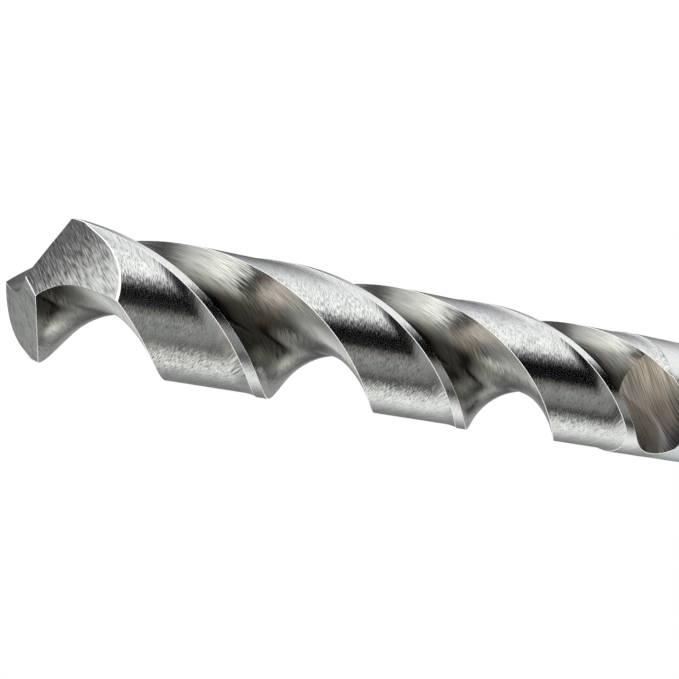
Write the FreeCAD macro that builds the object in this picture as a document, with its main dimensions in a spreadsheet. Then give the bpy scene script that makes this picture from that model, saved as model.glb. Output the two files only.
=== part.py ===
import FreeCAD
import Part
import Sketcher

import math
import os

# A straight-shank twist drill, made from one piece of steel.
# The shank stands on the plane z = 0 and the point is at the top. Seen from above, the drill
# cuts turning anticlockwise. Its two lands are alike, half a turn apart: each has a narrow
# margin at the full diameter, a relieved land behind it, and a flute ahead of it. The flutes
# get shallower and narrower towards the shank, and end where their grinding wheel left the
# steel. The point is ground as two skewed cones, which meet in the chisel edge.
# Lengths are in mm and angles in degrees.

SIZES = (
    ("cutting_diameter", 12.0, "over the two margins, at the point"),
    ("overall_length", 151.0, "from the shank's end to the chisel edge"),
    ("flute_length", 101.0, "from the chisel edge to the end of the flutes"),
    ("helix_angle", 30.0, "between the margins and the axis"),
    ("shank_diameter", 11.96, "where the chuck holds the drill"),
    ("shank_chamfer", 0.8, "round the shank's end"),
    ("neck_length", 2.0, "over which the body comes down to the shank's diameter"),
    ("grinding_stock", 2.0, "of bar above the chisel edge, before the point is ground"),
    ("point_angle", 118.0, "between the two cutting lips"),
    ("web_thickness", 1.66, "between the two lips, seen along the axis"),
    ("lip_inner_end", 0.55, "along a lip, from the axis to the chisel edge"),
    ("web_growth", 0.0095, "that the flutes' form moves out, for each mm from the point"),
    ("margin_width", 1.06, "round the circumference"),
    ("body_clearance", 0.22, "that the land behind a margin is relieved, in depth"),
    ("clearance_stop", 6.0, "that this relief ends short of the flutes, along the axis"),
    ("clearance_corner", 7.0, "radius where the relief ends, laid flat"),
    ("land_angle", 82.2, "from a margin's leading edge to the heel, at the point"),
    ("floor_radius", 4.5, "of a flute's floor, between the lip and the heel's wall"),
    ("heel_lean", 2.4, "of the heel's wall, from radial"),
    ("runout_length", 10.0, "along the axis, of the quarter ellipse that ends a flute's floor"),
    ("runout_rise", 1.5, "times the flute's depth, which is the height of that ellipse"),
    ("grind_cone_angle", 30.0, "half angle of the cone that each flank is part of"),
    ("grind_reach", 21.7, "from the drill's axis across to the cone's apex"),
    ("grind_skew", 4.98, "that the cone's axis runs ahead of the drill's axis"),
)

doc = FreeCAD.newDocument("twist_drill_bit")
sheet = doc.addObject("Spreadsheet::Sheet", "Sizes")
for row, (alias, value, meaning) in enumerate(SIZES, start=1):
    sheet.set(f"A{row}", alias)
    sheet.set(f"B{row}", str(value))
    sheet.setAlias(f"B{row}", alias)
    sheet.set(f"C{row}", meaning)
doc.recompute()


def size(alias):
    return float(sheet.get(alias))


RADIUS = size("cutting_diameter") / 2
HELIX = math.radians(size("helix_angle"))
LEAD = 2 * math.pi * RADIUS / math.tan(HELIX)
HALF_WEB = size("web_thickness") / 2
HALF_POINT = math.radians(size("point_angle") / 2)
LIP_REACH = math.sqrt(RADIUS**2 - HALF_WEB**2)
CORNER_ANGLE = math.asin(HALF_WEB / RADIUS)
OUTSIDE = 1.2 * RADIUS
STATION_STEP = LEAD / 30
RUNOUT_STATIONS = 6
RUNOUT_TURN = math.radians(80)
CORNER_STATIONS = 5
CORNER_TURN = math.radians(70)
RELIEF_OVERRUN = math.radians(10)
ALIKE = 0.5


def polar(radius, angle, height=0.0):
    return FreeCAD.Vector(radius * math.cos(angle), radius * math.sin(angle), height)


def cone_height(across, ahead, tilt):
    """Height of the grinding cone's upper surface, measured from its apex."""
    narrow = math.cos(math.radians(size("grind_cone_angle"))) ** 2
    lean, rise = math.sin(tilt), -math.cos(tilt)
    square = rise**2 - narrow
    linear = 2 * lean * rise * across
    rest = (lean * across) ** 2 - narrow * (across**2 + ahead**2)
    root = math.sqrt(linear**2 - 4 * square * rest)
    heights = [(-linear + sign * root) / (2 * square) for sign in (1, -1)]
    return max(height for height in heights if lean * across + rise * height > 0)


def lip_height(along, tilt):
    """Height of the cone over a place on the lip, measured from the apex."""
    return cone_height(along + size("grind_reach"), HALF_WEB - size("grind_skew"), tilt)


def find_grind_tilt():
    """The tilt of the cone's axis that makes the lip fall as the point angle asks."""
    wanted = (LIP_REACH - size("lip_inner_end")) / math.tan(HALF_POINT)
    low = math.radians(1.0)
    high = math.radians(80.0 - size("grind_cone_angle"))
    for _ in range(60):
        tilt = (low + high) / 2
        if lip_height(size("lip_inner_end"), tilt) - lip_height(LIP_REACH, tilt) > wanted:
            low = tilt
        else:
            high = tilt
    return tilt


TILT = find_grind_tilt()
APEX_OVER_CORNER = -lip_height(LIP_REACH, TILT)
CHISEL_OVER_CORNER = APEX_OVER_CORNER + cone_height(size("grind_reach"), -size("grind_skew"), TILT)
CORNER_HEIGHT = size("overall_length") - CHISEL_OVER_CORNER
TOP = size("overall_length") + size("grinding_stock") + STATION_STEP
FLUTE_END = size("overall_length") - size("flute_length")
CLEARANCE_END = FLUTE_END + size("clearance_stop")
HEEL = math.pi - math.radians(size("land_angle"))
HEEL_WALL = HEEL - math.radians(size("heel_lean"))


def turn_at(height):
    """How far the lands have turned at a height, from where they stand at the lips' corners."""
    return 2 * math.pi * (height - CORNER_HEIGHT) / LEAD


def rake_point(along):
    """On the flute's wall ahead of a lip: where a straight lip leaves it in a level section."""
    below = (LIP_REACH - along) / math.tan(HALF_POINT)
    angle = math.atan2(HALF_WEB, along) - CORNER_ANGLE - 2 * math.pi * below / LEAD
    return polar(math.hypot(along, HALF_WEB), angle)


def flute_form():
    """A level section of a flute's wall at the point, from ahead of the margin down to the web
    and out to the other land's heel, with the margin's leading edge on the X axis."""
    inner = size("lip_inner_end")
    shares = (1.0, 0.72, 0.48, 0.28, 0.13, 0.0)
    points = [rake_point(inner + share * (OUTSIDE - inner)) for share in shares]
    outward = polar(1.0, HEEL_WALL)
    into_flute = polar(1.0, HEEL_WALL - math.pi / 2)
    heel_edge = polar(RADIUS, HEEL)
    # The floor's arc starts at the web and is tangent to the heel's wall.
    radius = size("floor_radius")
    offset = heel_edge + into_flute * radius - points[-1]
    along = offset.dot(outward)
    reach = along - math.sqrt(radius**2 - offset.dot(offset) + along**2)
    tangent = heel_edge - outward * reach
    centre = tangent + into_flute * radius
    first = math.atan2(points[-1].y - centre.y, points[-1].x - centre.x)
    last = math.atan2(tangent.y - centre.y, tangent.x - centre.x)
    sweep = (last - first) % (2 * math.pi) - 2 * math.pi
    points += [centre + polar(radius, first + share * sweep) for share in (0.25, 0.5, 0.75, 1.0)]
    points.append((tangent + heel_edge) * 0.5)
    points.append(heel_edge + outward * (OUTSIDE - RADIUS))
    return points


def web_lift(height):
    """How the flute's form has moved out at a height, to leave a thicker web."""
    return polar(size("web_growth") * (CORNER_HEIGHT - height), HEEL / 2)


def form_turn(height):
    """The turn by which the form, moved out, keeps the margin's edge on its helix."""
    low, high = 0.0, OUTSIDE
    for _ in range(40):
        along = (low + high) / 2
        edge = rake_point(along) + web_lift(height)
        if edge.Length < RADIUS:
            low = along
        else:
            high = along
    return -math.atan2(edge.y, edge.x)


def heel_angle(height):
    """From a margin's leading edge forward to the heel of the other land."""
    outward = polar(1.0, HEEL_WALL)
    edge = polar(RADIUS, HEEL) + web_lift(height)
    along = edge.dot(outward)
    edge -= outward * (along - math.sqrt(along**2 - edge.dot(edge) + RADIUS**2))
    return math.atan2(edge.y, edge.x) + form_turn(height)


def smooth_edge(points):
    """A curve through points, with knots that don't depend on where the points are."""
    curve = Part.BSplineCurve()
    curve.interpolate(Points=points, Parameters=[float(i) for i in range(len(points))])
    return curve.toShape()


def flute_depth():
    """From the full diameter to the floor, where the flute's end begins."""
    middle = polar(1.0, HEEL / 2)
    web = web_lift(FLUTE_END + size("runout_length"))
    return RADIUS - min((point + web).dot(middle) for point in flute_form())


def runout(turned):
    """How far the form has risen, and its height, at a turn of the ellipse from its bottom."""
    length, rise = size("runout_length"), size("runout_rise")
    start = FLUTE_END + length * math.sqrt(1 - (1 - 1 / rise) ** 2)
    return rise * flute_depth() * (1 - math.cos(turned)), start - length * math.sin(turned)


def straight_edges(points):
    return [Part.makeLine(start, end) for start, end in zip(points, points[1:])]


def placed(edges, height):
    """A closed outline, lifted to a height and turned to where the helix has it there."""
    wire = Part.Wire(edges)
    wire.rotate(FreeCAD.Vector(), FreeCAD.Vector(0, 0, 1), math.degrees(turn_at(height)))
    wire.translate(FreeCAD.Vector(0, 0, height))
    return wire


def flute_section(height, rise=0.0):
    lift = web_lift(height) + polar(rise, HEEL / 2)
    turn = turned(form_turn(height))
    floor = [turn.multVec(point + lift) for point in flute_form()]
    ridge = turn.multVec(polar(OUTSIDE, HEEL / 2) + lift)
    return placed([smooth_edge(floor)] + straight_edges([floor[-1], ridge, floor[0]]), height)


def relief_section(height, corner):
    """A wedge over the land behind a margin; corner is how far its end has rounded in."""
    front = -(size("margin_width") + corner) / RADIUS
    back = heel_angle(height) - math.pi - RELIEF_OVERRUN
    inside, outside = RADIUS / 2, RADIUS * 1.5
    corners = [
        polar(inside, front),
        polar(outside, front),
        polar(outside, (front + back) / 2),
        polar(outside, back),
        polar(inside, back),
    ]
    return placed(straight_edges(corners + corners[:1]), height)


def stations(bottom, top):
    count = math.ceil((top - bottom) / STATION_STEP)
    return [top + (bottom - top) * i / count for i in range(count + 1)]


def flute_cutter():
    rise, start = runout(0.0)
    sections = [flute_section(height) for height in stations(start, TOP)]
    for i in range(1, RUNOUT_STATIONS + 1):
        rise, height = runout(RUNOUT_TURN * i / RUNOUT_STATIONS)
        sections.append(flute_section(height, rise))
    return Part.makeLoft(sections, True, False)


def relief_wedge():
    """The wedge swept along a land, with its corner by the margin rounded where it ends."""
    radius = size("clearance_corner")
    rise = radius * math.sin(CORNER_TURN)
    sections = [relief_section(height, 0.0) for height in stations(CLEARANCE_END + rise, TOP)]
    for i in range(1, CORNER_STATIONS + 1):
        turned = CORNER_TURN * i / CORNER_STATIONS
        height = CLEARANCE_END + rise - radius * math.sin(turned)
        sections.append(relief_section(height, radius * (1 - math.cos(turned))))
    return Part.makeLoft(sections, True, False)


def add_blank():
    """The turned bar: the shank, a neck too slight to see, and the body at full diameter."""
    body = doc.addObject("PartDesign::Body", "Blank")
    plane = next(item for item in body.Origin.OriginFeatures if item.Role == "YZ_Plane")
    sketch = body.newObject("Sketcher::SketchObject", "BlankProfile")
    sketch.AttachmentSupport = [(plane, "")]
    sketch.MapMode = "FlatFace"
    shank, chamfer = size("shank_diameter") / 2, size("shank_chamfer")
    length, stock = size("overall_length"), size("grinding_stock")
    outline = (
        (0, 0),
        (shank - chamfer, 0),
        (shank, chamfer),
        (shank, FLUTE_END - size("neck_length")),
        (RADIUS, FLUTE_END),
        (RADIUS, length + stock),
        (0, length + stock),
    )
    end_face, bevel, shank_side, neck, body_side, top_face, axis = range(len(outline))
    for i, start in enumerate(outline):
        end = outline[(i + 1) % len(outline)]
        sketch.addGeometry(Part.LineSegment(FreeCAD.Vector(*start), FreeCAD.Vector(*end)), False)
    for i in range(len(outline)):
        following = (i + 1) % len(outline)
        sketch.addConstraint(Sketcher.Constraint("Coincident", i, 2, following, 1))
    sketch.addConstraint(Sketcher.Constraint("Coincident", end_face, 1, -1, 1))
    for i in (end_face, top_face):
        sketch.addConstraint(Sketcher.Constraint("Horizontal", i))
    for i in (shank_side, body_side, axis):
        sketch.addConstraint(Sketcher.Constraint("Vertical", i))
    dimensions = (
        ("shank_radius", "DistanceX", axis, shank_side, shank, "Sizes.shank_diameter / 2"),
        ("body_radius", "DistanceX", axis, neck, RADIUS, "Sizes.cutting_diameter / 2"),
        ("bevel_width", "DistanceX", end_face, bevel, chamfer, "Sizes.shank_chamfer"),
        ("bevel_height", "DistanceY", end_face, bevel, chamfer, "Sizes.shank_chamfer"),
        ("neck_length", "DistanceY", shank_side, neck, size("neck_length"), "Sizes.neck_length"),
        ("shank_length", "DistanceY", end_face, neck, FLUTE_END,
         "Sizes.overall_length - Sizes.flute_length"),
        ("bar_length", "DistanceY", end_face, body_side, length + stock,
         "Sizes.overall_length + Sizes.grinding_stock"),
    )
    for name, kind, start, end, value, formula in dimensions:
        index = sketch.addConstraint(Sketcher.Constraint(kind, start, 2, end, 2, value))
        sketch.renameConstraint(index, name)
        sketch.setExpression(f"Constraints.{name}", formula)
    revolution = body.newObject("PartDesign::Revolution", "Turned")
    revolution.Profile = sketch
    revolution.ReferenceAxis = (sketch, ["V_Axis"])
    revolution.Angle = 360
    # The bar's seam keeps clear of the flutes' ends: it runs up the middle of a land there.
    body.Placement = turned(turn_at(FLUTE_END) - (math.pi - HEEL) / 2 - math.pi / 2)
    return body


def turned(angle):
    """A placement turned by an angle about the drill's axis."""
    rotation = FreeCAD.Rotation(FreeCAD.Vector(0, 0, 1), math.degrees(angle))
    return FreeCAD.Placement(FreeCAD.Vector(), rotation)


def add_swept(name, half, shape):
    """One of two like sweeps, half a turn apart."""
    swept = doc.addObject("Part::Feature", f"{name}{half + 1}")
    swept.Shape = shape
    swept.Placement = turned(math.pi * half)
    return swept


def add_cut(name, base, tool):
    cut = doc.addObject("Part::Cut", name)
    cut.Base = base
    cut.Tool = tool
    cut.Refine = False
    return cut


def add_relief(half, wedge):
    """What is ground off over one land: its wedge, outside the relieved diameter."""
    core = doc.addObject("Part::Cylinder", f"Core{half + 1}")
    core.setExpression("Radius", "Sizes.cutting_diameter / 2 - Sizes.body_clearance")
    core.setExpression("Height", "Sizes.overall_length + Sizes.cutting_diameter")
    # The cylinder's seam stands on the side away from the place where the relief ends.
    core.Placement = turned(turn_at(CLEARANCE_END) + math.pi * (half + 1))
    return add_cut(f"Relief{half + 1}", add_swept("ReliefWedge", half, wedge), core)


def add_flank_waste(half):
    """What the point grinder takes off one flank: the bar's end, less the grinding cone."""
    bar = doc.addObject("Part::Cylinder", f"PointEnd{half + 1}")
    bar.setExpression("Radius", "Sizes.cutting_diameter")
    bar.setExpression("Height", "Sizes.cutting_diameter + Sizes.grinding_stock")
    bar.Placement.Base = FreeCAD.Vector(0, 0, CORNER_HEIGHT - RADIUS)
    cone = doc.addObject("Part::Cone", f"GrindCone{half + 1}")
    cone.Radius1 = 0
    cone.setExpression("Height", "Sizes.grind_reach + 3 * Sizes.cutting_diameter")
    cone.setExpression("Radius2", ".Height * tan(Sizes.grind_cone_angle * 1 deg)")
    turn = 180 * half - math.degrees(CORNER_ANGLE)
    apex = FreeCAD.Vector(
        -size("grind_reach"), size("grind_skew"), CORNER_HEIGHT + APEX_OVER_CORNER
    )
    axis = FreeCAD.Vector(math.sin(TILT), 0, -math.cos(TILT))
    around = FreeCAD.Rotation(FreeCAD.Vector(0, 0, 1), turn)
    lean = FreeCAD.Rotation(FreeCAD.Vector(0, 0, 1), axis)
    cone.Placement = FreeCAD.Placement(around.multVec(apex), around * lean)
    return add_cut(f"FlankWaste{half + 1}", bar, cone)


flute, wedge = flute_cutter(), relief_wedge()
drill = add_blank()
for half in range(2):
    drill = add_cut(f"Fluted{half + 1}", drill, add_swept("FluteCutter", half, flute))
for half in range(2):
    drill = add_cut(f"Relieved{half + 1}", drill, add_relief(half, wedge))
for half in range(2):
    drill = add_cut(f"Ground{half + 1}", drill, add_flank_waste(half))
drill.Label = "drill_bit"
doc.recompute()

for item in doc.Objects:
    if "Invalid" in item.State or "Error" in item.State:
        raise RuntimeError(f"{item.Name} is {item.State}")
for stage in ("Fluted", "Relieved", "Ground"):
    cuts = [doc.getObject(f"{stage}{half + 1}") for half in range(2)]
    taken = [cut.Base.Shape.Volume - cut.Shape.Volume for cut in cuts]
    if min(taken) < ALIKE * max(taken):
        raise RuntimeError(f"the two sides are not {stage.lower()} alike")
if drill.Shape.isNull() or not drill.Shape.isValid() or len(drill.Shape.Solids) != 1:
    raise RuntimeError("the drill is not one sound solid")
os.makedirs("parts", exist_ok=True)
drill.Shape.exportStep(f"parts/{drill.Label}.step")
print(f"{drill.Label}: {drill.Shape.Volume:.1f} mm3, {len(drill.Shape.Faces)} faces")
print(f"outer corners at z = {CORNER_HEIGHT:.3f}, lead {LEAD:.3f}")
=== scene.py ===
import math

import bpy
import numpy as np
from mathutils import Matrix, Vector


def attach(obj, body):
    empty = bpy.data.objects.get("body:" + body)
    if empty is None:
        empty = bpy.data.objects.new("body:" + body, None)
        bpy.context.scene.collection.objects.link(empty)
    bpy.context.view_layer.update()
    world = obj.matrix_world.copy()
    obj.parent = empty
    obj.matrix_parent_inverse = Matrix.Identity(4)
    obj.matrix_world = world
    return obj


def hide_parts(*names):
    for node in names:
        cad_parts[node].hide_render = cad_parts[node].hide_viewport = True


# A twist drill, standing on its shank with the point up. The drill's own lengths are in mm, as
# it was modelled, and become metres when its mesh is made. Everything else is in metres.

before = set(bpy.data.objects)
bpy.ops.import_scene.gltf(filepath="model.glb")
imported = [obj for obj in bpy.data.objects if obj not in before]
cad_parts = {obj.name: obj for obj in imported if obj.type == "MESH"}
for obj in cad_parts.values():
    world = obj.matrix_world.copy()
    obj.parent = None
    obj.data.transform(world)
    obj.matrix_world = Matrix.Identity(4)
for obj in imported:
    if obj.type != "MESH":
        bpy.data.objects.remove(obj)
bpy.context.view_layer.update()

MM = 0.001

# The drill's sizes.
RADIUS = 6.0
LENGTH = 151.0
FLUTE_LENGTH = 101.0
HELIX = math.radians(30.0)
SHANK_RADIUS = 5.98
SHANK_CHAMFER = 0.8
NECK_LENGTH = 2.0
HALF_POINT = math.radians(59.0)
HALF_WEB = 0.83
LIP_INNER_END = 0.55
WEB_GROWTH = 0.0095
MARGIN_WIDTH = 1.06
BODY_CLEARANCE = 0.22
CLEARANCE_STOP = 6.0
CLEARANCE_CORNER = 7.0
CORNER_TURN = math.radians(70)
LAND_ANGLE = math.radians(82.2)
FLOOR_RADIUS = 4.5
HEEL_LEAN = math.radians(2.4)
RUNOUT_LENGTH = 10.0
RUNOUT_RISE = 1.5
GRIND_CONE = math.radians(30.0)
GRIND_REACH = 21.7
GRIND_SKEW = 4.98
EDGE = 0.05
FILLET = 1.2

# Worked out from them.
LEAD = 2 * math.pi * RADIUS / math.tan(HELIX)
LIP_REACH = math.sqrt(RADIUS**2 - HALF_WEB**2)
CORNER_ANGLE = math.asin(HALF_WEB / RADIUS)
OUTSIDE = 1.2 * RADIUS
FLUTE_END = LENGTH - FLUTE_LENGTH
CLEARANCE_END = FLUTE_END + CLEARANCE_STOP
CORNER_RISE = CLEARANCE_CORNER * math.sin(CORNER_TURN)
HEEL = math.pi - LAND_ANGLE
HEEL_WALL = HEEL - HEEL_LEAN
RELIEF_RADIUS = RADIUS - BODY_CLEARANCE
RUNOUT_START = FLUTE_END + RUNOUT_LENGTH * math.sqrt(1 - (1 - 1 / RUNOUT_RISE) ** 2)

# The mesh round the drill: how many intervals each part of half a section has, and where its
# parts meet.
KNOT_STEPS = 40
WALL_STEPS = 26
MARGIN_STEPS = 8
FILLET_STEPS = 8
LAND_STEPS = 22
CORNER = WALL_STEPS
STEP = CORNER + MARGIN_STEPS + 1
HEEL_CORNER = STEP + FILLET_STEPS + LAND_STEPS + 1
RING = HEEL_CORNER + WALL_STEPS

# The mesh along the drill: its rows, from the point down.
POINT_BASE = 139.0
POINT_ROWS = 18
POINT_CROWDING = 1.3
PROBE_STEP = 0.5
ROW_STEP = 0.6
RUNOUT_ROWS = 30
CORNER_ROWS = 8
FILLET_ROWS = 5
SHANK_ROWS = 12
A_TOUCH = 1e-6
SNAPS_PER_MM = 10000
SHARP = math.radians(15)

# The grinding marks: their lean on the flanks, across the flutes and in the runout.
FLANK_MARKS = math.radians(46)
MARKS_AT_EDGE, MARKS_AT_FLOOR = math.radians(8), math.radians(30)
MARK_SAMPLES = 200
WHEEL_LEAN = math.radians(37)
WHEEL_DROP = 4.0
FLANKS_APART = 40


def halve(low, high, still_low, times=40):
    """The place between low and high where still_low turns false, by halving."""
    for _ in range(times):
        middle = (low + high) / 2
        if still_low(middle):
            low = middle
        else:
            high = middle
    return middle


def polar(radius, angle):
    return np.array([radius * math.cos(angle), radius * math.sin(angle)])


def turned(points, angle):
    cosine, sine = math.cos(angle), math.sin(angle)
    return points @ np.array([[cosine, sine], [-sine, cosine]])


def point_at(points, place):
    """The point at a place along a line of points, counted in steps."""
    i = min(int(place), len(points) - 2)
    return points[i] + (points[i + 1] - points[i]) * (place - i)


def cone_height(across, ahead, tilt):
    """Height of a grinding cone's upper surface, from its apex."""
    narrow = math.cos(GRIND_CONE) ** 2
    lean, rise = math.sin(tilt), -math.cos(tilt)
    square = rise**2 - narrow
    linear = 2 * lean * rise * across
    rest = (lean * across) ** 2 - narrow * (across**2 + ahead**2)
    root = math.sqrt(linear**2 - 4 * square * rest)
    heights = [(-linear + sign * root) / (2 * square) for sign in (1, -1)]
    return max(height for height in heights if lean * across + rise * height > 0)


def lip_height(along, tilt):
    return cone_height(along + GRIND_REACH, HALF_WEB - GRIND_SKEW, tilt)


def find_grind_tilt():
    """How far the grinding cone tilts for the lip to lie at the point's angle."""
    wanted = (LIP_REACH - LIP_INNER_END) / math.tan(HALF_POINT)

    def too_steep(tilt):
        return lip_height(LIP_INNER_END, tilt) - lip_height(LIP_REACH, tilt) > wanted

    return halve(math.radians(1.0), math.radians(80.0) - GRIND_CONE, too_steep, 60)


TILT = find_grind_tilt()
APEX_OVER_CORNER = -lip_height(LIP_REACH, TILT)
CORNER_HEIGHT = LENGTH - APEX_OVER_CORNER - cone_height(GRIND_REACH, -GRIND_SKEW, TILT)


def turn_at(height):
    """How far the flutes have turned at a height, from the lips' corners."""
    return 2 * math.pi * (height - CORNER_HEIGHT) / LEAD


def flank_height(point, half):
    """Height of one flank's cone over a place."""
    x, y = turned(point, CORNER_ANGLE - math.pi * half)
    return CORNER_HEIGHT + APEX_OVER_CORNER + cone_height(x + GRIND_REACH, y - GRIND_SKEW, TILT)


def top_height(point):
    return min(flank_height(point, 0), flank_height(point, 1))


def on_first_flank(point):
    return flank_height(point, 0) < flank_height(point, 1)


def rake_point(along):
    """A point of the flute's wall at the lips' corners, which the helix carries up to the lip."""
    below = (LIP_REACH - along) / math.tan(HALF_POINT)
    angle = math.atan2(HALF_WEB, along) - CORNER_ANGLE - 2 * math.pi * below / LEAD
    return polar(math.hypot(along, HALF_WEB), angle)


def flute_knots():
    """Points on a flute's wall at the point, from beyond the margin to beyond the heel."""
    shares = (1.0, 0.72, 0.48, 0.28, 0.13, 0.0)
    points = [rake_point(LIP_INNER_END + share * (OUTSIDE - LIP_INNER_END)) for share in shares]
    outward, into_flute = polar(1.0, HEEL_WALL), polar(1.0, HEEL_WALL - math.pi / 2)
    heel_edge = polar(RADIUS, HEEL)
    offset = heel_edge + into_flute * FLOOR_RADIUS - points[-1]
    along = offset @ outward
    reach = along - math.sqrt(FLOOR_RADIUS**2 - offset @ offset + along**2)
    tangent = heel_edge - outward * reach
    centre = tangent + into_flute * FLOOR_RADIUS
    first = math.atan2(*(points[-1] - centre)[::-1])
    last = math.atan2(*(tangent - centre)[::-1])
    sweep = (last - first) % (2 * math.pi) - 2 * math.pi
    for share in (0.25, 0.5, 0.75, 1.0):
        points.append(centre + polar(FLOOR_RADIUS, first + share * sweep))
    points.append((tangent + heel_edge) / 2)
    points.append(heel_edge + outward * (OUTSIDE - RADIUS))
    return np.array(points)


def smooth_curve(knots, steps):
    """A natural cubic spline through the knots, with the same number of steps between each."""
    count = len(knots)
    system = np.eye(count)
    right = np.zeros_like(knots)
    for i in range(1, count - 1):
        system[i, i - 1:i + 2] = (1, 4, 1)
        right[i] = 6 * (knots[i - 1] - 2 * knots[i] + knots[i + 1])
    bend = np.linalg.solve(system, right)
    points = []
    for i in range(count - 1):
        for t in np.arange(steps) / steps:
            s = 1 - t
            points.append(s * knots[i] + t * knots[i + 1]
                          + ((s**3 - s) * bend[i] + (t**3 - t) * bend[i + 1]) / 6)
    points.append(knots[-1])
    return np.array(points)


FORM = smooth_curve(flute_knots(), KNOT_STEPS)
MIDDLE = polar(1.0, HEEL / 2)
WEB_AT_RUNOUT = FORM + MIDDLE * WEB_GROWTH * (CORNER_HEIGHT - RUNOUT_START)
FLUTE_DEPTH = RADIUS - WEB_AT_RUNOUT.dot(MIDDLE).min()


def first_crossing(points, radius):
    """Where a line of points first comes inside a radius: an index and a share of the step."""
    reach = np.hypot(points[:, 0], points[:, 1])
    inside = np.nonzero(reach < radius)[0]
    if not len(inside):
        return None
    i = inside[0]
    a, b = points[i - 1], points[i] - points[i - 1]
    square, linear, rest = b @ b, a @ b, a @ a - radius**2
    return i - 1 + (-linear - math.sqrt(linear**2 - square * rest)) / square


def wall_at(height, outer, heel_radius):
    """A flute's wall at a height, with the margin's edge on the X axis, and where it crosses
    the outer radius at the margin and the heel's radius at the heel."""
    lift = MIDDLE * WEB_GROWTH * (CORNER_HEIGHT - height)
    web = FORM + lift
    edge = point_at(web, first_crossing(web, RADIUS))
    past = max(0.0, RUNOUT_START - height) / RUNOUT_LENGTH
    rise = RUNOUT_RISE * FLUTE_DEPTH * (1 - math.sqrt(max(0.0, 1 - past**2)))
    wall = turned(web + MIDDLE * rise, -math.atan2(edge[1], edge[0]))
    start = first_crossing(wall, outer)
    end = first_crossing(wall[::-1], heel_radius)
    if start is None or end is None:
        return wall, None, None
    return wall, start, len(wall) - 1 - end


def find_web_place():
    """Where along the form the two flanks meet on the flute's wall, at the chisel edge."""

    def before_the_web(place):
        height = LENGTH
        for _ in range(30):
            wall = wall_at(height, RADIUS, RADIUS)[0]
            point = turned(point_at(wall, place), turn_at(height))
            height = top_height(point)
        return on_first_flank(point)

    return halve(4.0 * KNOT_STEPS, 6.0 * KNOT_STEPS, before_the_web)


WEB_PLACE = find_web_place()


def land_radius(height, relieved):
    """The land's radius at a height, with the relief's end hollowed as its wheel leaves it."""
    if not relieved:
        return RADIUS
    share = min(1.0, max(0.0, (height - CLEARANCE_END) / FILLET))
    return RELIEF_RADIUS + (RADIUS - EDGE - RELIEF_RADIUS) * (1 - share) ** 2


def section(height, relieved=True):
    """One half of a level section, in order: up the wall from the web to the margin, round the
    margin, down to the land, round it to the heel, and in along the wall to the web."""
    land = land_radius(height, relieved)
    wall, start, end = wall_at(height, RADIUS - EDGE, land - EDGE)
    back = CLEARANCE_CORNER * (1 - math.cos(CORNER_TURN))
    if height > CLEARANCE_END:
        sine = max(0.0, CLEARANCE_END + CORNER_RISE - height) / CLEARANCE_CORNER
        back = CLEARANCE_CORNER * (1 - math.sqrt(1 - sine**2))
    step = -(MARGIN_WIDTH + back) / RADIUS
    if start is None:
        edge = wall[np.hypot(wall[:, 0], wall[:, 1]).argmin()]
        edge = heel = edge / np.hypot(*edge) * RADIUS
        rake, floor = [edge] * (WALL_STEPS + 1), [heel] * (WALL_STEPS + 1)
    else:
        web = min(max(WEB_PLACE, start), end)
        rake = [point_at(wall, place) for place in np.linspace(web, start, WALL_STEPS + 1)]
        floor = [point_at(wall, place) for place in np.linspace(end, web, WALL_STEPS + 1)]
        edge, heel = rake[-1], floor[0]
    first = math.atan2(edge[1], edge[0]) - EDGE / RADIUS
    last = math.atan2(heel[1], heel[0]) - math.pi + EDGE / land
    margin = np.linspace(first, step + EDGE / RADIUS, MARGIN_STEPS)
    points = rake + [polar(RADIUS, angle) for angle in margin]
    drop = RADIUS - EDGE - land if relieved else 0.0
    for share in np.arange(FILLET_STEPS + 1) / FILLET_STEPS:
        points.append(polar(land + drop * (1 - share) ** 2, step - FILLET * share / RADIUS))
    rest = np.linspace(step - FILLET / RADIUS, last, LAND_STEPS + 1)[1:]
    points += [polar(land, angle) for angle in rest]
    points += [-point for point in floor[:-1]]
    return np.array(points)


def whole_section(height, relieved=True):
    half = section(height, relieved)
    return np.concatenate([half, -half])


def side_heights():
    """The heights of the mesh's rows below the point."""
    rows = list(np.arange(POINT_BASE, RUNOUT_START, -ROW_STEP))
    last = math.acos(1 - 1 / RUNOUT_RISE)
    for i in range(RUNOUT_ROWS + 1):
        turn = last * (1 - (1 - i / RUNOUT_ROWS) ** 2)
        rows.append(RUNOUT_START - RUNOUT_LENGTH * math.sin(turn))
    for i in range(1, CORNER_ROWS):
        drop = CLEARANCE_CORNER * math.sin(CORNER_TURN * i / CORNER_ROWS)
        rows.append(CLEARANCE_END + CORNER_RISE - drop)
    rows += [CLEARANCE_END + FILLET * i / FILLET_ROWS for i in range(1, FILLET_ROWS + 1)]
    rows = [height for height in rows if abs(height - CLEARANCE_END) > 2 * EDGE]
    rows += [CLEARANCE_END + A_TOUCH, CLEARANCE_END - EDGE]
    return sorted(rows, reverse=True)


PROBES = np.arange(POINT_BASE, LENGTH + 2, PROBE_STEP)
COLUMNS = [whole_section(height) for height in PROBES]


def column_point(j, height):
    """Where a column of the side grid is at a height near the point."""
    place = (height - POINT_BASE) / PROBE_STEP
    i = min(max(int(place), 0), len(PROBES) - 2)
    point = COLUMNS[i][j] + (COLUMNS[i + 1][j] - COLUMNS[i][j]) * (place - i)
    return turned(point, turn_at(height))


def column_top(j):
    """The height at which a column of the side grid meets the flanks."""
    height = LENGTH - 1
    for _ in range(40):
        height = top_height(column_point(j, height))
    return height


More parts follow.
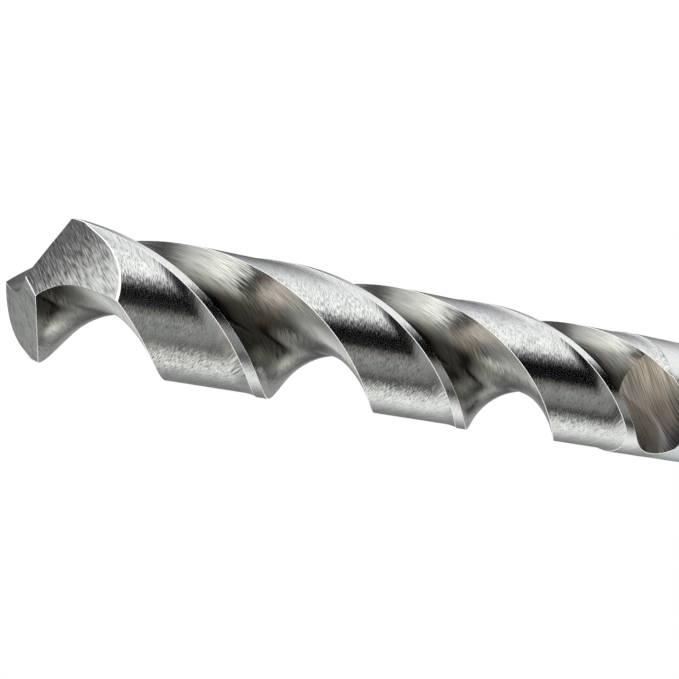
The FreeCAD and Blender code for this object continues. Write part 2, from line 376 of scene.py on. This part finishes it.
def chisel_line(start, end, count):
    """Points where the two flanks meet, from one end of the chisel edge to the other."""
    widest = 0.4
    across = np.array([start[1] - end[1], end[0] - start[0]])
    across = across / np.hypot(*across)
    points = [start]
    for k in range(1, count):
        point = start + (end - start) * k / count
        side = on_first_flank(point - across * widest)
        shift = halve(-widest, widest, lambda s: on_first_flank(point + across * s) == side)
        points.append(point + across * shift)
    return np.array(points + [end])


class Skin:
    """A mesh in the making: faces with their corners, their grain coordinates and their zone."""

    def __init__(self):
        self.corners, self.grain, self.zones = [], [], []

    def grid(self, points, grain, zone, flip=False):
        """Faces over a grid of points. zone is called with a face's row and column, and grain
        with its zone and a corner's row and column."""
        for i in range(len(points) - 1):
            for j in range(len(points[0]) - 1):
                ring = [(i, j), (i, j + 1), (i + 1, j + 1), (i + 1, j)]
                if flip:
                    ring.reverse()
                kind = zone(i, j)
                self.corners.append([points[a][b] for a, b in ring])
                self.grain.append([grain(kind, a, b) for a, b in ring])
                self.zones.append(kind)

    def build(self, name, materials):
        """A mesh object in metres, its double corners merged and its flat faces dropped."""
        places, faces, grains, zones = {}, [], [], []
        for corners, grain, zone in zip(self.corners, self.grain, self.zones):
            face, spots = [], []
            for corner, spot in zip(corners, grain):
                key = tuple(int(round(value * SNAPS_PER_MM)) for value in corner)
                index = places.setdefault(key, len(places))
                if index not in face:
                    face.append(index)
                    spots.append(spot)
            if len(face) > 2:
                faces.append(face)
                grains += spots
                zones.append(zone)
        points = [tuple(value * MM / SNAPS_PER_MM for value in key) for key in places]
        mesh = bpy.data.meshes.new(name)
        mesh.from_pydata(points, [], faces)
        layer = mesh.uv_layers.new(name="grain")
        layer.data.foreach_set("uv", np.array(grains, dtype=np.float32).ravel())
        names = list(materials)
        for material in materials.values():
            mesh.materials.append(material)
        mesh.polygons.foreach_set("material_index", [names.index(zone) for zone in zones])
        mesh.update()
        mesh.shade_smooth()
        mesh.set_sharp_from_angle(angle=SHARP)
        piece = bpy.data.objects.new(name, mesh)
        bpy.context.collection.objects.link(piece)
        return piece


def column_zone(j):
    j = j % RING
    if j < CORNER or j >= HEEL_CORNER:
        return "flute"
    if j in (CORNER, STEP - 1, HEEL_CORNER - 1):
        return "edge"
    if j < STEP:
        return "margin"
    return "fillet" if j < STEP + FILLET_STEPS else "land"


def side_grid():
    """The rows of the sides: first those at the point, from its rim down, then the others."""
    tops = [column_top(j) for j in range(2 * RING)]
    grid = []
    for k in range(POINT_ROWS, 0, -1):
        share = 1 - (1 - k / POINT_ROWS) ** POINT_CROWDING
        heights = [POINT_BASE + (top - EDGE - POINT_BASE) * share for top in tops]
        grid.append([(*column_point(j, height), height) for j, height in enumerate(heights)])
    for height in side_heights():
        points = turned(whole_section(height, height > CLEARANCE_END), turn_at(height))
        grid.append([(x, y, height) for x, y in points])
    return [line + line[:1] for line in grid]


def flute_marks(row):
    """Gives back a function from a corner of a flute's row to how far along the drill the
    marks have run there: they lean most on the floor."""
    across = np.concatenate([[0], np.cumsum(np.linalg.norm(np.diff(row, axis=0), axis=1))])
    lap = across[2 * RING]
    heels = across[HEEL_CORNER], across[RING + HEEL_CORNER]
    width = lap - heels[1] + across[CORNER]
    spots = np.linspace(0, width, MARK_SAMPLES)
    bulge = np.sin(math.pi * spots / width) ** 2
    leans = MARKS_AT_EDGE + (MARKS_AT_FLOOR - MARKS_AT_EDGE) * bulge
    runs = np.concatenate([[0], np.cumsum(1 / np.tan(leans[1:]))]) * width / (MARK_SAMPLES - 1)

    def run_at(b, other):
        spot = across[b] - heels[0] if other else (across[b] - heels[1]) % lap
        return np.interp(spot, spots, runs)

    return run_at


def add_sides(skin):
    """The flutes, margins and lands. Gives back the rim under the flanks and the last row."""
    grid = side_grid()
    run_at = flute_marks(np.array(grid[POINT_ROWS]))
    wheel_turn = HEEL / 2 + math.pi / 2 + turn_at(RUNOUT_START - WHEEL_DROP)
    cosine, sine = math.cos(WHEEL_LEAN), math.sin(WHEEL_LEAN)

    def zone(i, j):
        kind = column_zone(j)
        height = grid[i + 1][j][2]
        if kind == "flute" and height < RUNOUT_START - 0.01:
            return "runout"
        if kind in ("land", "fillet") and height < CLEARANCE_END:
            return "margin"
        return kind

    def grain(kind, a, b):
        x, y, height = grid[a][b]
        other = CORNER < b <= RING + CORNER
        if kind == "runout":
            swing = polar(1.0, wheel_turn + math.pi * other) @ (x, y)
            return (cosine * height + sine * swing, sine * height - cosine * swing)
        if kind == "flute":
            return (height, (height + run_at(b, other)) / 2)
        turn = turn_at(height) - (math.pi / 2 if b <= RING else -math.pi / 2)
        angle = (math.atan2(y, x) - turn + math.pi) % (2 * math.pi) - math.pi
        return ((angle + turn) * RADIUS, height)

    skin.grid(grid, grain, zone, flip=True)
    return grid[0][:-1], grid[-1]


def border_places(count, inset=0.3):
    """Places along a border: its ends, a little inside them, and the whole numbers between."""
    return [0.0, inset] + [float(k) for k in range(1, count)] + [count - inset, float(count)]


def add_flank(skin, rim, half, chisel):
    """The ground face over one land, with its edges broken."""
    ring = np.array([rim[(half * RING + j) % (2 * RING)] for j in range(RING + 1)])
    lip = ring[:CORNER + 1]
    arc = ring[CORNER:HEEL_CORNER + 1]
    heel = ring[HEEL_CORNER:][::-1]
    count_u, count_v = len(lip) - 1, len(arc) - 1
    across, down = border_places(count_u), border_places(count_v)
    grid = []
    for a, v in enumerate(down):
        line = []
        for b, u in enumerate(across):
            inner = 0 < a < len(down) - 1 and 0 < b < len(across) - 1
            i = u if inner else round(u)
            k = v if inner else round(v)
            s, t = i / count_u, k / count_v
            point = ((1 - t) * point_at(lip, i) + t * point_at(heel, i)
                     + (1 - s) * point_at(chisel, k) + s * point_at(arc, k)
                     - (1 - s) * (1 - t) * lip[0] - s * (1 - t) * lip[-1]
                     - (1 - s) * t * heel[0] - s * t * heel[-1])
            line.append((point[0], point[1], top_height(point[:2]) if inner else point[2]))
        grid.append(line)
    marks = polar(1.0, FLANK_MARKS + math.pi * half)

    def zone(i, j):
        on_border = i in (0, len(down) - 2) or j in (0, len(across) - 2)
        return "edge" if on_border else "flank"

    def grain(kind, a, b):
        x, y, _ = grid[a][b]
        return (x * marks[0] + y * marks[1], y * marks[0] - x * marks[1] + FLANKS_APART * half)

    skin.grid(grid, grain, zone)


def add_shank(skin, ring):
    """The bar below the flutes, down to its chamfered end."""
    angles = [math.atan2(y, x) for x, y, _ in ring]
    neck = FLUTE_END - NECK_LENGTH
    profile = []
    for k in range(SHANK_ROWS + 1):
        profile.append((SHANK_RADIUS, neck + (SHANK_CHAMFER + EDGE - neck) * k / SHANK_ROWS))
    profile += [
        (SHANK_RADIUS - EDGE, SHANK_CHAMFER - EDGE),
        (SHANK_RADIUS - SHANK_CHAMFER + EDGE, EDGE),
        (SHANK_RADIUS - SHANK_CHAMFER - EDGE, 0.0),
        (SHANK_RADIUS / 2, 0.0),
        (0.0, 0.0),
    ]
    grid = [ring]
    for radius, height in profile:
        grid.append([(*polar(radius, angle), height) for angle in angles])
    spread = np.unwrap(angles)

    def grain(kind, a, b):
        x, y, height = grid[a][b]
        return (spread[b] * RADIUS, height + math.hypot(x, y))

    skin.grid(grid, grain, lambda i, j: "shank", flip=True)


def add_drill(materials):
    skin = Skin()
    rim, last_row = add_sides(skin)
    line = chisel_line(np.array(rim[0][:2]), np.array(rim[RING][:2]), HEEL_CORNER - CORNER)
    chisel = np.array([(x, y, top_height(np.array([x, y])) - EDGE) for x, y in line])
    chisel[0], chisel[-1] = rim[0], rim[RING]
    add_flank(skin, rim, 0, chisel)
    add_flank(skin, rim, 1, chisel[::-1])
    add_shank(skin, last_row)
    drill = skin.build("drill", materials)
    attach(drill, "root")
    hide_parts("drill_bit")


class Nodes:
    """Short forms for building a node tree, which starts empty."""

    def __init__(self, owner):
        owner.use_nodes = True
        self.tree = owner.node_tree
        self.tree.nodes.clear()

    def add(self, kind, inputs=(), **settings):
        node = self.tree.nodes.new(kind)
        for name, value in settings.items():
            setattr(node, name, value)
        for socket, value in dict(inputs).items():
            if isinstance(value, bpy.types.NodeSocket):
                self.tree.links.new(value, node.inputs[socket])
            else:
                node.inputs[socket].default_value = value
        return node

    def math(self, operation, first, second=0.0, third=0.0):
        inputs = {0: first, 1: second, 2: third}
        return self.add("ShaderNodeMath", inputs, operation=operation).outputs[0]

    def vector(self, operation, *inputs):
        return self.add("ShaderNodeVectorMath", enumerate(inputs), operation=operation)

    def spread(self, noise, amount, middle):
        """A noise from 0 to 1, brought to a middle value and half an amount either way."""
        return self.math("MULTIPLY_ADD", self.math("SUBTRACT", noise, 0.5), amount, middle)

    def step(self, value, start, end, low=0.0, high=1.0):
        """A smooth step from low to high, as a value goes from start to end."""
        inputs = {0: value, 1: start, 2: end, 3: low, 4: high}
        node = self.add("ShaderNodeMapRange", inputs, interpolation_type="SMOOTHSTEP")
        return node.outputs[0]

    def mix(self, share, first, second, blend="MIX"):
        inputs = {0: share, 6: first, 7: second}
        node = self.add("ShaderNodeMix", inputs, data_type="RGBA", blend_type=blend)
        return node.outputs[2]

    def shader(self, share, first, second):
        return self.add("ShaderNodeMixShader", {0: share, 1: first, 2: second}).outputs[0]

    def ramp(self, value, stops, interpolation="LINEAR"):
        node = self.add("ShaderNodeValToRGB", {0: value})
        node.color_ramp.interpolation = interpolation
        elements = node.color_ramp.elements
        while len(elements) < len(stops):
            elements.new(0.5)
        for element, (place, colour) in zip(elements, stops):
            element.position = place
            element.color = (*colour, 1.0)
        return node.outputs[0]

    def streaks(self, spot, length, width, seed, detail=1.0):
        """Noise drawn out along the grinding marks: its length and width are in mm."""
        scaled = self.add(
            "ShaderNodeMapping",
            {"Vector": spot, "Scale": (1 / length, 1 / width, 1.0),
             "Location": (seed * 7.3, seed * 3.1, 0.0)},
        ).outputs[0]
        return self.add(
            "ShaderNodeTexNoise",
            {"Vector": scaled, "Scale": 1.0, "Detail": detail, "Roughness": 0.6},
            noise_dimensions="2D",
        ).outputs[0]


WHITE = (1.0, 1.0, 1.0)


def paint_depth_shade(nodes):
    """Paints shade into the flutes' colour towards the axis, where little light reaches. Returns a
    colour.
    """
    place = nodes.add("ShaderNodeTexCoord").outputs["Object"]
    flat = nodes.vector("MULTIPLY", place, (1.0, 1.0, 0.0)).outputs[0]
    radius = nodes.vector("LENGTH", flat).outputs["Value"]
    share = nodes.math("DIVIDE", radius, RADIUS * MM)
    return nodes.ramp(share, ((0.15, (0.06, 0.05, 0.04)), (0.38, (0.17, 0.16, 0.14)),
                              (0.56, (0.66, 0.65, 0.63)), (0.72, WHITE)))


def paint_runout_shade(nodes):
    """Paints shade into the runout's colour, darker towards its lower end. Returns a colour."""
    place = nodes.add("ShaderNodeTexCoord").outputs["Object"]
    height = nodes.add("ShaderNodeSeparateXYZ", {0: place}).outputs[2]
    rise = RUNOUT_START - FLUTE_END
    share = nodes.math("MULTIPLY_ADD", height, 1 / (MM * rise), -FLUTE_END / rise)
    return nodes.ramp(share, ((0.05, (0.15, 0.15, 0.17)), (0.38, (0.46, 0.445, 0.44)),
                              (0.75, WHITE)))


def steel(name, colour, roughness, stretch, marks, tilts, mottle, metal=1.0, painted_shade=None):
    """Ground steel. stretch is how far its reflections spread across the grinding marks. marks
    gives their length and width in mm, tilts how unevenly they catch the light along and across
    themselves, and mottle how uneven their colour is."""
    material = bpy.data.materials.new(name)
    nodes = Nodes(material)
    length, width = marks
    spot = nodes.add("ShaderNodeUVMap", uv_map="grain").outputs[0]
    along_noise = nodes.streaks(spot, length, width, 1)
    across_noise = nodes.streaks(spot, length, width, 2)
    broad_noise = nodes.streaks(spot, length * 5, width * 12, 3, 2.0)
    along_tilt = nodes.spread(along_noise, tilts[0], 0.5)
    across_tilt = nodes.spread(across_noise, tilts[1], 0.5)
    normal = nodes.add("ShaderNodeCombineXYZ", {0: along_tilt, 1: across_tilt, 2: 1.0}).outputs[0]
    normal = nodes.add("ShaderNodeNormalMap", {"Color": normal}, uv_map="grain", space="TANGENT")
    shade = nodes.spread(across_noise, mottle, 0.5)
    shade = nodes.math("ADD", shade, nodes.spread(broad_noise, 0.3 * mottle, 0.0))
    dark = tuple(0.5 * value for value in colour)
    light = tuple(min(1.0, 1.25 * value) for value in colour)
    base = nodes.ramp(shade, ((0.0, dark), (0.5, colour), (1.0, light)))
    # painted_shade is a painted shade, multiplied into the base colour.
    if painted_shade:
        base = nodes.mix(1.0, base, painted_shade(nodes), "MULTIPLY")
    tangent = nodes.add("ShaderNodeTangent", direction_type="UV_MAP", uv_map="grain").outputs[0]
    shader = nodes.add(
        "ShaderNodeBsdfPrincipled",
        {"Base Color": base, "Metallic": metal, "Anisotropic": stretch,
         "Roughness": nodes.spread(along_noise, 0.2 * roughness, roughness),
         "Anisotropic Rotation": 0.25, "Normal": normal.outputs[0], "Tangent": tangent},
    )
    nodes.add("ShaderNodeOutputMaterial", {"Surface": shader.outputs[0]})
    return material


GREY, WARM, COOL = (0.62, 0.62, 0.61), (0.71, 0.70, 0.67), (0.62, 0.63, 0.67)
# The edges' near-white colour is a painted highlight.
EVEN_GREY, BROWNISH, PAINTED_GLINT_WHITE = (0.62, 0.62, 0.62), (0.88, 0.79, 0.71), (0.97, 0.97, 0.97)
MATERIALS = {
    "flute": steel(
        "flute_steel", WARM, roughness=0.16, stretch=0.70, marks=(2.0, 0.14), tilts=(0.03, 0.16),
        mottle=2.2, painted_shade=paint_depth_shade),
    "runout": steel(
        "runout_steel", BROWNISH, roughness=0.28, stretch=0.7, marks=(6.0, 0.085),
        tilts=(0.04, 0.18), mottle=3.0, painted_shade=paint_runout_shade),
    "margin": steel(
        "margin_steel", EVEN_GREY, roughness=0.20, stretch=0.7, marks=(0.5, 0.12),
        tilts=(0.06, 0.10), mottle=0.6),
    "fillet": steel(
        "fillet_steel", GREY, roughness=0.22, stretch=0.8, marks=(1.5, 0.16), tilts=(0.07, 0.22),
        mottle=1.4),
    "land": steel(
        "land_steel", GREY, roughness=0.20, stretch=0.85, marks=(0.45, 0.12), tilts=(0.07, 0.17),
        mottle=3.0),
    "flank": steel(
        "flank_steel", GREY, roughness=0.27, stretch=0.7, marks=(0.9, 0.095), tilts=(0.10, 0.26),
        mottle=2.1),
    # The broken edges: real chamfers that catch the light, with a painted highlight on top,
    # near-white and only partly metal.
    "edge": steel(
        "edge_steel_painted_glint", PAINTED_GLINT_WHITE, roughness=0.45, stretch=0.0, marks=(1.0, 1.0), tilts=(0.0, 0.0),
        mottle=0.1, metal=0.3),
    "shank": steel(
        "shank_steel", COOL, roughness=0.28, stretch=0.8, marks=(0.5, 0.12), tilts=(0.05, 0.12),
        mottle=0.9),
}

# The studio that the steel reflects, in four rings of soft light round the drill, the lowest
# first: how bright each is, by degrees from X. Each ring turns into the next one between two
# elevations, in degrees.
GREEN, BROWN, BLUE = (0.97, 1.0, 0.965), (1.0, 0.93, 0.83), (0.96, 0.97, 1.0)
LOW = (
    (-180, 1.3, GREEN), (-168, 1.2, GREEN), (-157, 0.75, GREEN), (-150, 0.32, GREEN),
    (-144, 0.04, GREEN), (-135, 0.03, GREEN), (-129, 0.27, GREEN), (-104, 0.38, GREEN),
    (-94, 0.22, BROWN), (-85, 0.0, BROWN), (-60, 0.0, BROWN), (-47, 0.30, BLUE),
    (-37, 1.3, GREEN), (-12, 1.38, GREEN), (12, 1.25, BLUE), (28, 0.80, BLUE), (45, 0.45, BLUE),
    (70, 0.08, BLUE), (88, 0.34, GREEN), (108, 0.34, GREEN), (130, 0.20, GREEN),
    (148, 0.42, GREEN), (180, 1.3, GREEN),
)
HALFWAY = (
    (-180, 0.22, GREEN), (-160, 0.35, BROWN), (-142, 0.55, BROWN), (-128, 0.50, GREEN),
    (-118, 0.40, GREEN), (-104, 0.38, GREEN), (-94, 0.22, BROWN), (-85, 0.0, BROWN),
    (-60, 0.0, BROWN), (-47, 0.30, BLUE), (-37, 1.3, GREEN), (12, 1.25, BLUE), (28, 0.80, BLUE),
    (45, 0.45, BLUE), (70, 0.08, BLUE), (88, 0.45, GREEN), (110, 0.60, GREEN),
    (132, 0.80, GREEN), (152, 0.55, GREEN), (180, 0.22, GREEN),
)
LEVEL = (
    (-180, 0.35, GREEN), (-168, 0.60, BROWN), (-154, 0.74, BROWN), (-148, 0.02, BROWN),
    (-138, 0.02, GREEN), (-130, 0.9, GREEN), (-117, 1.3, GREEN), (-97, 0.85, GREEN),
    (-85, 0.6, GREEN), (-72, 0.05, GREEN), (-55, 0.15, BLUE), (-35, 0.8, BLUE), (0, 0.9, BLUE),
    (25, 0.20, BLUE), (60, 0.04, BLUE), (95, 0.26, GREEN), (110, 0.40, GREEN),
    (135, 0.5, GREEN), (158, 0.20, GREEN), (180, 0.42, GREEN),
)
HIGH = (
    (-180, 0.20, GREEN), (-110, 0.75, GREEN), (-60, 1.2, GREEN), (-42, 1.1, GREEN),
    (-26, 0.62, GREEN), (-14, 0.22, GREEN), (5, 0.10, BLUE), (20, 0.12, BLUE), (60, 0.6, BLUE),
    (110, 0.6, GREEN), (180, 0.20, GREEN),
)
RINGS = LOW, HALFWAY, LEVEL, HIGH
RING_MEETINGS = (-42.5, -36.0), (-29.0, -15.0), (8.0, 30.0)


def studio(nodes, direction):
    """The studio's light from a direction."""
    x, y, z = nodes.add("ShaderNodeSeparateXYZ", {0: direction}).outputs
    share = nodes.math("MULTIPLY_ADD", nodes.math("ARCTAN2", y, x), 1 / (2 * math.pi), 0.5)
    square = nodes.math("ADD", nodes.math("MULTIPLY", x, x), nodes.math("MULTIPLY", y, y))
    rise = nodes.math("ARCTAN2", z, nodes.math("SQRT", square))
    rise = nodes.math("DIVIDE", rise, math.pi / 180)
    lights = []
    for ring in RINGS:
        stops = [((degrees + 180) / 360, tuple(value * part for part in tint))
                 for degrees, value, tint in ring]
        lights.append(nodes.ramp(share, stops, "EASE"))
    light = lights[0]
    for above, (start, end) in zip(lights[1:], RING_MEETINGS):
        light = nodes.mix(nodes.step(rise, start, end), light, above)
    return light


# The floor shows the studio's lower part to the steel, as seen from EYE_HEIGHT, and is dark from
# the drill out to DARK_RADIUS. The camera sees it pale, with the drill's shadow.
EYE_HEIGHT = 0.1
DARK_RADIUS, LIGHT_RADIUS = 0.014, 0.031
DARK_STRENGTH = 0.03
FLOOR_HALF = 3.0
FLOOR_GREY = (0.8, 0.8, 0.8, 1.0)
FLOOR_GLOW = 0.9
AMBIENT = 1.3


def add_floor():
    material = bpy.data.materials.new("floor")
    nodes = Nodes(material)
    path = nodes.add("ShaderNodeLightPath").outputs
    place = nodes.add("ShaderNodeNewGeometry").outputs["Position"]
    direction = nodes.vector("SUBTRACT", place, (0.0, 0.0, EYE_HEIGHT)).outputs[0]
    reach = nodes.vector("LENGTH", place).outputs["Value"]
    strength = nodes.step(reach, DARK_RADIUS, LIGHT_RADIUS, DARK_STRENGTH, 1.0)
    matt = nodes.add("ShaderNodeBsdfDiffuse", {"Color": FLOOR_GREY}).outputs[0]
    glow = nodes.add("ShaderNodeEmission", {"Strength": 1.0}).outputs[0]
    room = nodes.add(
        "ShaderNodeEmission", {"Color": studio(nodes, direction), "Strength": strength}).outputs[0]
    plain = nodes.shader(nodes.math("MULTIPLY", path["Is Camera Ray"], FLOOR_GLOW), matt, glow)
    both = nodes.shader(path["Is Glossy Ray"], plain, room)
    nodes.add("ShaderNodeOutputMaterial", {"Surface": both})
    material.cycles.emission_sampling = "NONE"
    mesh = bpy.data.meshes.new("floor")
    corners = [(x * FLOOR_HALF, y * FLOOR_HALF, 0) for x, y in ((-1, -1), (1, -1), (1, 1), (-1, 1))]
    mesh.from_pydata(corners, [], [(0, 1, 2, 3)])
    mesh.materials.append(material)
    floor = bpy.data.objects.new("floor", mesh)
    bpy.context.collection.objects.link(floor)


def add_world():
    world = bpy.data.worlds.new("studio")
    nodes = Nodes(world)
    path = nodes.add("ShaderNodeLightPath").outputs
    direction = nodes.add("ShaderNodeTexCoord").outputs["Generated"]

    def light(colour, strength=1.0):
        return nodes.add("ShaderNodeBackground", {"Color": colour, "Strength": strength}).outputs[0]

    seen = nodes.shader(
        path["Is Camera Ray"], light((*WHITE, 1.0), AMBIENT), light((*WHITE, 1.0)))
    both = nodes.shader(path["Is Glossy Ray"], seen, light(studio(nodes, direction)))
    nodes.add("ShaderNodeOutputWorld", {"Surface": both})
    world.cycles.sampling_method = "NONE"
    bpy.context.scene.world = world


def add_camera():
    """The photograph's view, on the drill's upper two thirds."""
    turn, rise, roll = -1.5113, 0.9745, -1.3915
    distance, target, lift = 0.34908, Vector((0.0, 0.0, 0.106561)), 0.000192
    image_side, focal_length = 679, 3936.05  # pixels
    flat = math.cos(rise)
    back = Vector((flat * math.cos(turn), flat * math.sin(turn), math.sin(rise)))
    level = (-back).cross(Vector((0, 0, 1))).normalized()
    steep = level.cross(-back)
    right = math.cos(roll) * level + math.sin(roll) * steep
    up = -math.sin(roll) * level + math.cos(roll) * steep
    place = target + back * distance + up * lift
    data = bpy.data.cameras.new("camera")
    data.sensor_width = 36.0
    data.lens = data.sensor_width * focal_length / image_side
    data.clip_start = 0.01
    camera = bpy.data.objects.new("camera", data)
    axes = Matrix((right, up, back)).transposed().to_4x4()
    camera.matrix_world = Matrix.Translation(place) @ axes
    bpy.context.collection.objects.link(camera)
    bpy.context.scene.camera = camera


def add_lamp(name, place, aim, side, power):
    data = bpy.data.lights.new(name, "AREA")
    data.shape = "RECTANGLE"
    data.size = data.size_y = side
    data.energy = power
    lamp = bpy.data.objects.new(name, data)
    lamp.location = place
    lamp.rotation_euler = (Vector(aim) - Vector(place)).to_track_quat("-Z", "Y").to_euler()
    bpy.context.collection.objects.link(lamp)


add_drill(MATERIALS)
add_floor()
add_world()
add_lamp("key", place=(0.5, -0.3, 0.6), aim=(0, 0, 0.1), side=0.4, power=0.1)
add_camera()

bpy.context.scene.view_settings.view_transform = "Standard"
